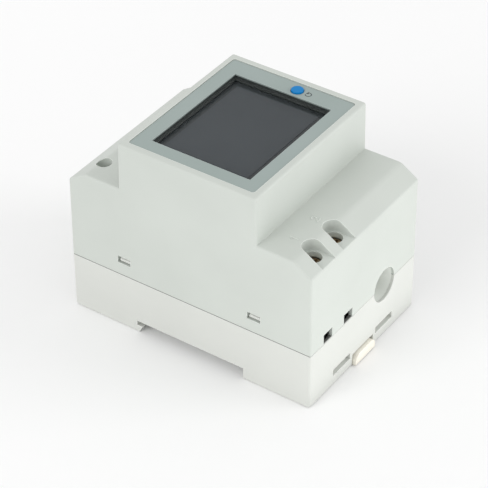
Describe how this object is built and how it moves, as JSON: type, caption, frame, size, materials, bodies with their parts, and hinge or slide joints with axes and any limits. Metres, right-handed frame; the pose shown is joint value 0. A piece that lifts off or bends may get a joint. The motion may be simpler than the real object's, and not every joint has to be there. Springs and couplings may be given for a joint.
{
  "type": "din rail energy meter",
  "caption": "Three-module rail-mounted energy meter: stepped grey housing, display window, reset button, screw terminals, a through cable tunnel and a sprung rail clip.",
  "frame": {"origin": "middle of the housing's 80 by 54 mm footprint, on the plane of the feet; the clip tab stands 1 mm out beyond it on +X", "axes": "+X towards the end with the screw terminals, along the cable tunnel; +Y along the rail; +Z from the feet to the display"},
  "size_m": [0.081, 0.054, 0.0633],
  "materials": {
    "cover_grey": "fine satin texture",
    "base_grey": "fine satin texture",
    "overlay_grey": "smooth satin film",
    "window_clear": "clear",
    "black_plastic": "matt",
    "display_glass": "dark display cell",
    "light_guide": "translucent white",
    "button_blue": "satin",
    "board_green": "solder mask",
    "chip_black": "matt",
    "tin": "tinned",
    "brass": "bright",
    "zinc_steel": "zinc plated",
    "spring_steel": "bright",
    "clip_white": "satin",
    "tube_grey": "matt",
    "core_black": "potted case",
    "film_yellow": "gloss",
    "can_dark": "sleeved",
    "varistor_blue": "dipped",
    "resistor_green": "cement coat"
  },
  "bodies": {
    "housing": {"top_cover": "cover_grey", "base_housing": "base_grey", "face_overlay": "overlay_grey", "display_window": "window_clear", "lcd_bezel": "black_plastic", "lcd_glass": "display_glass", "lcd_backlight": "light_guide", "lcd_pins": "tin", "display_board": "board_green", "display_board_screws": "zinc_steel", "tact_switch": "chip_black", "main_board": "board_green", "main_board_screws": "zinc_steel", "link_header": "chip_black", "link_pins": "tin", "metering_chip": "chip_black", "control_chip": "chip_black", "crystal": "tin", "film_capacitor": "film_yellow", "electrolytic_capacitors": "can_dark", "varistor": "varistor_blue", "fuse_resistor": "resistor_green", "cable_tube": "tube_grey", "current_transformer": "core_black", "transformer_leads": "tin", "clip_spring": "spring_steel", "terminal_bar_1": "brass", "terminal_bar_2": "brass"},
    "reset_button": {"reset_button": "button_blue", "switch_plunger": "chip_black"},
    "rail_clip": {"rail_clip": "clip_white"},
    "terminal_screw_1": {"terminal_screw_1": "brass"},
    "terminal_cage_1": {"terminal_cage_1": "zinc_steel"},
    "terminal_screw_2": {"terminal_screw_2": "brass"},
    "terminal_cage_2": {"terminal_cage_2": "zinc_steel"}
  },
  "joints": [
    {"name": "reset_press", "type": "slide", "parent": "housing", "child": "reset_button", "axis": [0, 0, -1], "range_m": [0, 0.0004], "stiffness_N_per_m": 2000, "springref_m": -0.0004},
    {"name": "clip_pull", "type": "slide", "parent": "housing", "child": "rail_clip", "axis": [1, 0, 0], "range_m": [0, 0.0032], "stiffness_N_per_m": 500, "springref_m": -0.004, "deforming": ["clip_spring"]},
    {"name": "screw_1_turn", "type": "hinge", "parent": "housing", "child": "terminal_screw_1", "pos_m": [0.0346, -0.0185, 0.0391], "axis": [0, 0, -1], "range_deg": [0, 2160]},
    {"name": "cage_1_lift", "type": "slide", "parent": "housing", "child": "terminal_cage_1", "axis": [0, 0, 1], "range_m": [0, 0.003]},
    {"name": "screw_2_turn", "type": "hinge", "parent": "housing", "child": "terminal_screw_2", "pos_m": [0.0346, -0.0084, 0.0391], "axis": [0, 0, -1], "range_deg": [0, 2160]},
    {"name": "cage_2_lift", "type": "slide", "parent": "housing", "child": "terminal_cage_2", "axis": [0, 0, 1], "range_m": [0, 0.003]}
  ],
  "couplings": [
    {"joint": "screw_1_turn", "follows": "cage_1_lift", "rad_per_m": 12566},
    {"joint": "screw_2_turn", "follows": "cage_2_lift", "rad_per_m": 12566}
  ]
}
